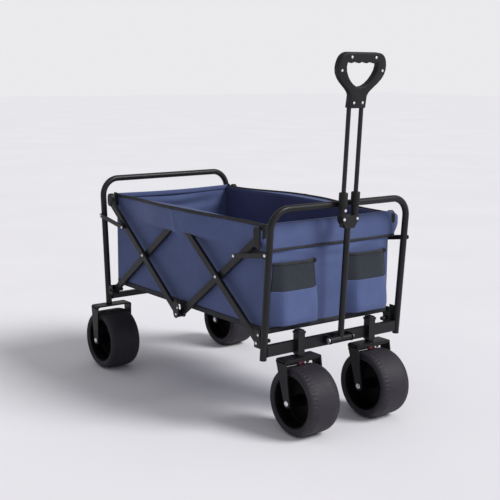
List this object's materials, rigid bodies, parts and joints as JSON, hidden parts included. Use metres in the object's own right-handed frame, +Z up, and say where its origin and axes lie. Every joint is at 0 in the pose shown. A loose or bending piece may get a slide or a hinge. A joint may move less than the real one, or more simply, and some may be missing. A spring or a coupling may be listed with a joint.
{
  "type": "folding beach cart",
  "caption": "Folding beach cart with a scissor frame, fabric tub, wide wheels, swivelling front casters and a telescopic pull handle.",
  "frame": {"origin": "on the ground, midway between the two sides and midway between the foremost and rearmost points of the tyres", "axes": "+Z up, -Y towards the pull handle, +X to the right of someone facing the handle end"},
  "size_m": [0.6406, 1.1, 1.071],
  "materials": {
    "frame": "black powder coat",
    "plastic": "moulded black plastic",
    "steel": "zinc plated steel",
    "tyre": "foamed charcoal tread",
    "hub": "moulded black plastic",
    "brake": "dark red plastic",
    "fabric": "coated slate blue polyester",
    "pocket": "mesh over solid cloth"
  },
  "bodies": {
    "rear_frame": {"rear_frame_tube": "frame", "rear_rail": "frame", "bracket_rear_left": "frame", "bracket_rear_right": "frame", "rear_fork_left": "frame", "rear_fork_right": "frame", "rear_axle_left": "steel", "rear_axle_right": "steel"},
    "front_frame": {"front_frame_tube": "frame", "front_rail": "frame", "caster_cap_left": "plastic", "caster_cap_right": "plastic", "bracket_front_left": "frame", "bracket_front_right": "frame", "handle_clevis": "frame", "handle_bolt": "steel"},
    "handle_lower": {"handle_tube": "frame", "handle_block": "plastic"},
    "handle_upper": {"handle_rod_left": "frame", "handle_rod_right": "frame", "handle_grip": "plastic"},
    "tub_rear": {"fabric_rear_panel": "fabric", "fabric_sides_floor": "fabric"},
    "tub_front": {"fabric_front_panel": "fabric", "cup_pocket_left": "pocket", "cup_pocket_right": "pocket"},
    "bar_b_left": {"bar_rear_low_to_mid_top_left": "frame"},
    "bar_a_left": {"bar_mid_low_to_rear_top_left": "frame", "bar_cap_rear_left": "plastic"},
    "bar_d_left": {"bar_front_low_to_mid_top_left": "frame"},
    "bar_c_left": {"bar_mid_low_to_front_top_left": "frame", "bar_cap_front_left": "plastic"},
    "bracket_middle_left": {"bracket_middle_left": "frame"},
    "brace_rear_left": {"brace_rear_left": "frame"},
    "brace_front_left": {"brace_front_left": "frame"},
    "rear_wheel_left": {"rear_tyre_left": "tyre", "rear_hub_left": "hub"},
    "caster_left": {"front_fork_left": "frame", "front_axle_left": "steel"},
    "front_wheel_left": {"front_tyre_left": "tyre", "front_hub_left": "hub"},
    "brake_left": {"brake_lever_left": "brake"},
    "bar_b_right": {"bar_rear_low_to_mid_top_right": "frame"},
    "bar_a_right": {"bar_mid_low_to_rear_top_right": "frame", "bar_cap_rear_right": "plastic"},
    "bar_d_right": {"bar_front_low_to_mid_top_right": "frame"},
    "bar_c_right": {"bar_mid_low_to_front_top_right": "frame", "bar_cap_front_right": "plastic"},
    "bracket_middle_right": {"bracket_middle_right": "frame"},
    "brace_rear_right": {"brace_rear_right": "frame"},
    "brace_front_right": {"brace_front_right": "frame"},
    "rear_wheel_right": {"rear_tyre_right": "tyre", "rear_hub_right": "hub"},
    "caster_right": {"front_fork_right": "frame", "front_axle_right": "steel"},
    "front_wheel_right": {"front_tyre_right": "tyre", "front_hub_right": "hub"},
    "brake_right": {"brake_lever_right": "brake"}
  },
  "joints": [
    {"name": "fold", "type": "hinge", "parent": "rear_frame", "child": "bar_b_left", "pos_m": [-0.2555, 0.435, 0.272], "axis": [-1, 0, 0], "range_deg": [0, 43]},
    {"name": "scissor_rear_low_right", "type": "hinge", "parent": "rear_frame", "child": "bar_b_right", "pos_m": [0.2555, 0.435, 0.272], "axis": [-1, 0, 0], "range_deg": [0, 43]},
    {"name": "scissor_rear_cross_left", "type": "hinge", "parent": "bar_b_left", "child": "bar_a_left", "pos_m": [-0.25, 0.229, 0.425], "axis": [1, 0, 0], "range_deg": [0, 86]},
    {"name": "scissor_mid_top_left", "type": "hinge", "parent": "bar_b_left", "child": "bar_d_left", "pos_m": [-0.25, 0.023, 0.578], "axis": [1, 0, 0], "range_deg": [0, 86]},
    {"name": "scissor_front_cross_left", "type": "hinge", "parent": "bar_d_left", "child": "bar_c_left", "pos_m": [-0.25, -0.183, 0.425], "axis": [-1, 0, 0], "range_deg": [0, 86]},
    {"name": "scissor_mid_low_left", "type": "hinge", "parent": "bar_a_left", "child": "bracket_middle_left", "pos_m": [-0.2555, 0.023, 0.272], "axis": [-1, 0, 0], "range_deg": [0, 43]},
    {"name": "scissor_rear_cross_right", "type": "hinge", "parent": "bar_b_right", "child": "bar_a_right", "pos_m": [0.25, 0.229, 0.425], "axis": [1, 0, 0], "range_deg": [0, 86]},
    {"name": "scissor_mid_top_right", "type": "hinge", "parent": "bar_b_right", "child": "bar_d_right", "pos_m": [0.25, 0.023, 0.578], "axis": [1, 0, 0], "range_deg": [0, 86]},
    {"name": "scissor_front_cross_right", "type": "hinge", "parent": "bar_d_right", "child": "bar_c_right", "pos_m": [0.25, -0.183, 0.425], "axis": [-1, 0, 0], "range_deg": [0, 86]},
    {"name": "scissor_mid_low_right", "type": "hinge", "parent": "bar_a_right", "child": "bracket_middle_right", "pos_m": [0.2555, 0.023, 0.272], "axis": [-1, 0, 0], "range_deg": [0, 43]},
    {"name": "scissor_front_low_left", "type": "hinge", "parent": "bar_d_left", "child": "front_frame", "pos_m": [-0.2555, -0.389, 0.272], "axis": [-1, 0, 0], "range_deg": [0, 43]},
    {"name": "brace_rear_left", "type": "hinge", "parent": "rear_frame", "child": "brace_rear_left", "pos_m": [-0.2715, 0.4793, 0.527], "axis": [-1, 0, 0], "range_deg": [0, 71.6]},
    {"name": "brace_front_left", "type": "hinge", "parent": "front_frame", "child": "brace_front_left", "pos_m": [-0.2715, -0.4333, 0.527], "axis": [1, 0, 0], "range_deg": [0, 71.6]},
    {"name": "brace_rear_right", "type": "hinge", "parent": "rear_frame", "child": "brace_rear_right", "pos_m": [0.2715, 0.4793, 0.527], "axis": [-1, 0, 0], "range_deg": [0, 71.6]},
    {"name": "brace_front_right", "type": "hinge", "parent": "front_frame", "child": "brace_front_right", "pos_m": [0.2715, -0.4333, 0.527], "axis": [1, 0, 0], "range_deg": [0, 71.6]},
    {"name": "tub_rear_lift", "type": "slide", "parent": "rear_frame", "child": "tub_rear", "axis": [0, 0, 1], "range_m": [0, 0.1988], "deforming": ["fabric_sides_floor"]},
    {"name": "tub_front_lift", "type": "slide", "parent": "front_frame", "child": "tub_front", "axis": [0, 0, 1], "range_m": [0, 0.1988], "deforming": ["cup_pocket_left", "cup_pocket_right"]},
    {"name": "rear_wheel_spin_left", "type": "hinge", "parent": "rear_frame", "child": "rear_wheel_left", "pos_m": [-0.25, 0.45, 0.1], "axis": [1, 0, 0], "continuous": true},
    {"name": "caster_swivel_left", "type": "hinge", "parent": "front_frame", "child": "caster_left", "pos_m": [-0.137, -0.422, 0.25], "axis": [0, 0, 1], "continuous": true},
    {"name": "front_wheel_spin_left", "type": "hinge", "parent": "caster_left", "child": "front_wheel_left", "pos_m": [-0.137, -0.45, 0.1], "axis": [1, 0, 0], "continuous": true},
    {"name": "brake_press_left", "type": "hinge", "parent": "caster_left", "child": "brake_left", "pos_m": [-0.137, -0.436, 0.209], "axis": [-1, 0, 0], "range_deg": [0, 2.5]},
    {"name": "rear_wheel_spin_right", "type": "hinge", "parent": "rear_frame", "child": "rear_wheel_right", "pos_m": [0.25, 0.45, 0.1], "axis": [1, 0, 0], "continuous": true},
    {"name": "caster_swivel_right", "type": "hinge", "parent": "front_frame", "child": "caster_right", "pos_m": [0.137, -0.422, 0.25], "axis": [0, 0, 1], "continuous": true},
    {"name": "front_wheel_spin_right", "type": "hinge", "parent": "caster_right", "child": "front_wheel_right", "pos_m": [0.137, -0.45, 0.1], "axis": [1, 0, 0], "continuous": true},
    {"name": "brake_press_right", "type": "hinge", "parent": "caster_right", "child": "brake_right", "pos_m": [0.137, -0.436, 0.209], "axis": [-1, 0, 0], "range_deg": [0, 2.5]},
    {"name": "handle_tilt", "type": "hinge", "parent": "front_frame", "child": "handle_lower", "pos_m": [0, -0.445, 0.256], "axis": [1, 0, 0], "range_deg": [0, 90]},
    {"name": "handle_telescope", "type": "slide", "parent": "handle_lower", "child": "handle_upper", "axis": [0, 0.0558, -0.9984], "range_m": [0, 0.225]}
  ],
  "couplings": [
    {"joint": "scissor_rear_low_right", "follows": "fold", "ratio": 1},
    {"joint": "scissor_rear_cross_left", "follows": "fold", "ratio": 2},
    {"joint": "scissor_mid_top_left", "follows": "fold", "ratio": 2},
    {"joint": "scissor_front_cross_left", "follows": "fold", "ratio": 2},
    {"joint": "scissor_mid_low_left", "follows": "fold", "ratio": 1},
    {"joint": "scissor_rear_cross_right", "follows": "fold", "ratio": 2},
    {"joint": "scissor_mid_top_right", "follows": "fold", "ratio": 2},
    {"joint": "scissor_front_cross_right", "follows": "fold", "ratio": 2},
    {"joint": "scissor_mid_low_right", "follows": "fold", "ratio": 1},
    {"joint": "scissor_front_low_left", "follows": "fold", "ratio": 1},
    {"joint": "brace_rear_left", "follows": "fold", "ratio": 1.6642},
    {"joint": "brace_front_left", "follows": "fold", "ratio": 1.6642},
    {"joint": "brace_rear_right", "follows": "fold", "ratio": 1.6642},
    {"joint": "brace_front_right", "follows": "fold", "ratio": 1.6642},
    {"joint": "tub_rear_lift", "follows": "fold", "m_per_rad": 0.26486},
    {"joint": "tub_front_lift", "follows": "fold", "m_per_rad": 0.26486}
  ]
}
